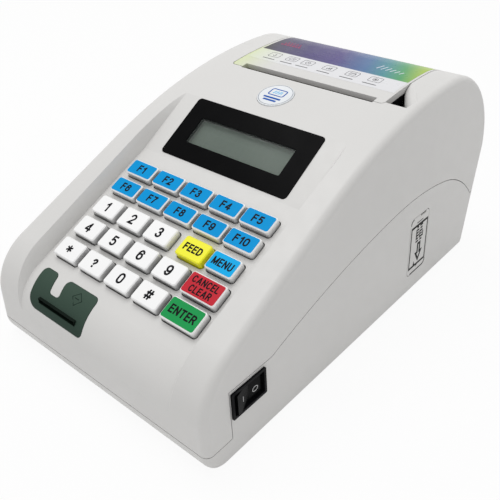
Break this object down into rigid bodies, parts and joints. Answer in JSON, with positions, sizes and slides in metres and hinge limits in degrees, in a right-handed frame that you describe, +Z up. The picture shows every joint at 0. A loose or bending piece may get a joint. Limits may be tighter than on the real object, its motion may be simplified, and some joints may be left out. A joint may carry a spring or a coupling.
{
  "type": "ticket register",
  "caption": "Compact counter ticket register with sloping keypad, small display, card slot, side rocker switch and a printer under a hinged lid.",
  "frame": {"origin": "centre of the footprint, on the surface that the feet stand on", "axes": "+X to the operator's right, +Y towards the back, +Z up"},
  "size_m": [0.135, 0.229, 0.1045],
  "materials": {
    "case": "fine grained moulded light grey",
    "lid": "fine grained moulded light grey",
    "key_white": "satin",
    "key_blue": "satin",
    "key_yellow": "satin",
    "key_red": "satin",
    "key_green": "satin",
    "gloss_black": "glossy",
    "black_plastic": "fine grained",
    "window": "smooth",
    "module": "flat",
    "badge": "domed gloss",
    "dark_green": "satin",
    "rubber": "matt",
    "silicone": "matt",
    "steel": "drawn",
    "black_steel": "blackened",
    "zinc_plate": "zinc plated",
    "brass": "turned",
    "gear_plastic": "moulded acetal",
    "head_ceramic": "glazed",
    "circuit_board": "solder resist",
    "battery_wrap": "shrink wrap",
    "paper": "smooth thermal paper",
    "card_core": "card"
  },
  "bodies": {
    "root": {"upper_housing": "case", "lower_housing": "case", "rubber_feet": "rubber", "housing_screws": "steel", "keypad_mat": "silicone", "keypad_board": "circuit_board", "lcd_bezel": "gloss_black", "lcd_window": "window", "lcd_module": "module", "round_badge": "badge", "card_slot_insert": "dark_green", "card_reader": "black_plastic", "lid_hinge_pin": "steel", "stepper_motor": "zinc_plate", "printer_frame": "zinc_plate", "print_head": "head_ceramic", "head_spring": "steel", "tear_bar": "black_steel", "paper_bucket": "black_plastic", "switch_housing": "black_plastic", "data_port": "black_plastic", "main_board": "circuit_board", "battery_pack": "battery_wrap", "power_jack": "black_plastic"},
    "lid": {"printer_lid": "lid", "platen_carrier": "black_plastic"},
    "platen": {"platen_shaft": "steel", "platen_roller": "rubber", "platen_gear": "gear_plastic"},
    "idler": {"idler_gear": "gear_plastic"},
    "pinion": {"motor_pinion": "brass"},
    "paper": {"paper_roll": "paper", "paper_core": "card_core"},
    "rocker": {"switch_rocker": "gloss_black"},
    "hatch": {"side_hatch": "case"},
    "button_f1": {"key_f1": "key_blue"},
    "button_f2": {"key_f2": "key_blue"},
    "button_f3": {"key_f3": "key_blue"},
    "button_f4": {"key_f4": "key_blue"},
    "button_f5": {"key_f5": "key_blue"},
    "button_f6": {"key_f6": "key_blue"},
    "button_f7": {"key_f7": "key_blue"},
    "button_f8": {"key_f8": "key_blue"},
    "button_f9": {"key_f9": "key_blue"},
    "button_f10": {"key_f10": "key_blue"},
    "button_1": {"key_1": "key_white"},
    "button_2": {"key_2": "key_white"},
    "button_3": {"key_3": "key_white"},
    "button_4": {"key_4": "key_white"},
    "button_5": {"key_5": "key_white"},
    "button_6": {"key_6": "key_white"},
    "button_9": {"key_9": "key_white"},
    "button_star": {"key_star": "key_white"},
    "button_query": {"key_query": "key_white"},
    "button_0": {"key_0": "key_white"},
    "button_hash": {"key_hash": "key_white"},
    "button_feed": {"key_feed": "key_yellow"},
    "button_menu": {"key_menu": "key_blue"},
    "button_cancel": {"key_cancel": "key_red"},
    "button_enter": {"key_enter": "key_green"}
  },
  "joints": [
    {"name": "lid_hinge", "type": "hinge", "parent": "root", "child": "lid", "pos_m": [0, 0.087, 0.098], "axis": [-1, 0, 0], "range_deg": [0, 80]},
    {"name": "platen_spin", "type": "hinge", "parent": "lid", "child": "platen", "pos_m": [0, 0.0365, 0.094], "axis": [1, 0, 0], "continuous": true},
    {"name": "idler_spin", "type": "hinge", "parent": "root", "child": "idler", "pos_m": [0, 0.03191, 0.08291], "axis": [1, 0, 0], "continuous": true},
    {"name": "pinion_spin", "type": "hinge", "parent": "root", "child": "pinion", "pos_m": [0, 0.0245, 0.0762], "axis": [1, 0, 0], "continuous": true},
    {"name": "paper_spin", "type": "hinge", "parent": "root", "child": "paper", "pos_m": [0, 0.0645, 0.0675], "axis": [1, 0, 0], "continuous": true},
    {"name": "rocker_rock", "type": "hinge", "parent": "root", "child": "rocker", "pos_m": [0.06427, -0.08995, 0.02636], "axis": [0.0628, 0, -0.998], "range_deg": [0, 14]},
    {"name": "hatch_hinge", "type": "hinge", "parent": "root", "child": "hatch", "pos_m": [0.06518, 0.04325, 0.01494], "axis": [0, 1, 0], "range_deg": [0, 95]},
    {"name": "press_f1", "type": "slide", "parent": "root", "child": "button_f1", "axis": [0, 0.4384, -0.8988], "range_m": [0, 0.0012], "stiffness_N_per_m": 500, "springref_m": -0.0005},
    {"name": "press_f2", "type": "slide", "parent": "root", "child": "button_f2", "axis": [0, 0.4384, -0.8988], "range_m": [0, 0.0012], "stiffness_N_per_m": 500, "springref_m": -0.0005},
    {"name": "press_f3", "type": "slide", "parent": "root", "child": "button_f3", "axis": [0, 0.4384, -0.8988], "range_m": [0, 0.0012], "stiffness_N_per_m": 500, "springref_m": -0.0005},
    {"name": "press_f4", "type": "slide", "parent": "root", "child": "button_f4", "axis": [0, 0.4384, -0.8988], "range_m": [0, 0.0012], "stiffness_N_per_m": 500, "springref_m": -0.0005},
    {"name": "press_f5", "type": "slide", "parent": "root", "child": "button_f5", "axis": [0, 0.4384, -0.8988], "range_m": [0, 0.0012], "stiffness_N_per_m": 500, "springref_m": -0.0005},
    {"name": "press_f6", "type": "slide", "parent": "root", "child": "button_f6", "axis": [0, 0.4384, -0.8988], "range_m": [0, 0.0012], "stiffness_N_per_m": 500, "springref_m": -0.0005},
    {"name": "press_f7", "type": "slide", "parent": "root", "child": "button_f7", "axis": [0, 0.4384, -0.8988], "range_m": [0, 0.0012], "stiffness_N_per_m": 500, "springref_m": -0.0005},
    {"name": "press_f8", "type": "slide", "parent": "root", "child": "button_f8", "axis": [0, 0.4384, -0.8988], "range_m": [0, 0.0012], "stiffness_N_per_m": 500, "springref_m": -0.0005},
    {"name": "press_f9", "type": "slide", "parent": "root", "child": "button_f9", "axis": [0, 0.4384, -0.8988], "range_m": [0, 0.0012], "stiffness_N_per_m": 500, "springref_m": -0.0005},
    {"name": "press_f10", "type": "slide", "parent": "root", "child": "button_f10", "axis": [0, 0.4384, -0.8988], "range_m": [0, 0.0012], "stiffness_N_per_m": 500, "springref_m": -0.0005},
    {"name": "press_1", "type": "slide", "parent": "root", "child": "button_1", "axis": [0, 0.4384, -0.8988], "range_m": [0, 0.0012], "stiffness_N_per_m": 500, "springref_m": -0.0005},
    {"name": "press_2", "type": "slide", "parent": "root", "child": "button_2", "axis": [0, 0.4384, -0.8988], "range_m": [0, 0.0012], "stiffness_N_per_m": 500, "springref_m": -0.0005},
    {"name": "press_3", "type": "slide", "parent": "root", "child": "button_3", "axis": [0, 0.4384, -0.8988], "range_m": [0, 0.0012], "stiffness_N_per_m": 500, "springref_m": -0.0005},
    {"name": "press_4", "type": "slide", "parent": "root", "child": "button_4", "axis": [0, 0.4384, -0.8988], "range_m": [0, 0.0012], "stiffness_N_per_m": 500, "springref_m": -0.0005},
    {"name": "press_5", "type": "slide", "parent": "root", "child": "button_5", "axis": [0, 0.4384, -0.8988], "range_m": [0, 0.0012], "stiffness_N_per_m": 500, "springref_m": -0.0005},
    {"name": "press_6", "type": "slide", "parent": "root", "child": "button_6", "axis": [0, 0.4384, -0.8988], "range_m": [0, 0.0012], "stiffness_N_per_m": 500, "springref_m": -0.0005},
    {"name": "press_9", "type": "slide", "parent": "root", "child": "button_9", "axis": [0, 0.4384, -0.8988], "range_m": [0, 0.0012], "stiffness_N_per_m": 500, "springref_m": -0.0005},
    {"name": "press_star", "type": "slide", "parent": "root", "child": "button_star", "axis": [0, 0.4384, -0.8988], "range_m": [0, 0.0012], "stiffness_N_per_m": 500, "springref_m": -0.0005},
    {"name": "press_query", "type": "slide", "parent": "root", "child": "button_query", "axis": [0, 0.4384, -0.8988], "range_m": [0, 0.0012], "stiffness_N_per_m": 500, "springref_m": -0.0005},
    {"name": "press_0", "type": "slide", "parent": "root", "child": "button_0", "axis": [0, 0.4384, -0.8988], "range_m": [0, 0.0012], "stiffness_N_per_m": 500, "springref_m": -0.0005},
    {"name": "press_hash", "type": "slide", "parent": "root", "child": "button_hash", "axis": [0, 0.4384, -0.8988], "range_m": [0, 0.0012], "stiffness_N_per_m": 500, "springref_m": -0.0005},
    {"name": "press_feed", "type": "slide", "parent": "root", "child": "button_feed", "axis": [0, 0.4384, -0.8988], "range_m": [0, 0.0012], "stiffness_N_per_m": 500, "springref_m": -0.0005},
    {"name": "press_menu", "type": "slide", "parent": "root", "child": "button_menu", "axis": [0, 0.4384, -0.8988], "range_m": [0, 0.0012], "stiffness_N_per_m": 500, "springref_m": -0.0005},
    {"name": "press_cancel", "type": "slide", "parent": "root", "child": "button_cancel", "axis": [0, 0.4384, -0.8988], "range_m": [0, 0.0012], "stiffness_N_per_m": 500, "springref_m": -0.0005},
    {"name": "press_enter", "type": "slide", "parent": "root", "child": "button_enter", "axis": [0, 0.4384, -0.8988], "range_m": [0, 0.0012], "stiffness_N_per_m": 500, "springref_m": -0.0005}
  ],
  "couplings": [
    {"joint": "idler_spin", "follows": "platen_spin", "ratio": -0.71429},
    {"joint": "pinion_spin", "follows": "platen_spin", "ratio": 1.6667}
  ]
}
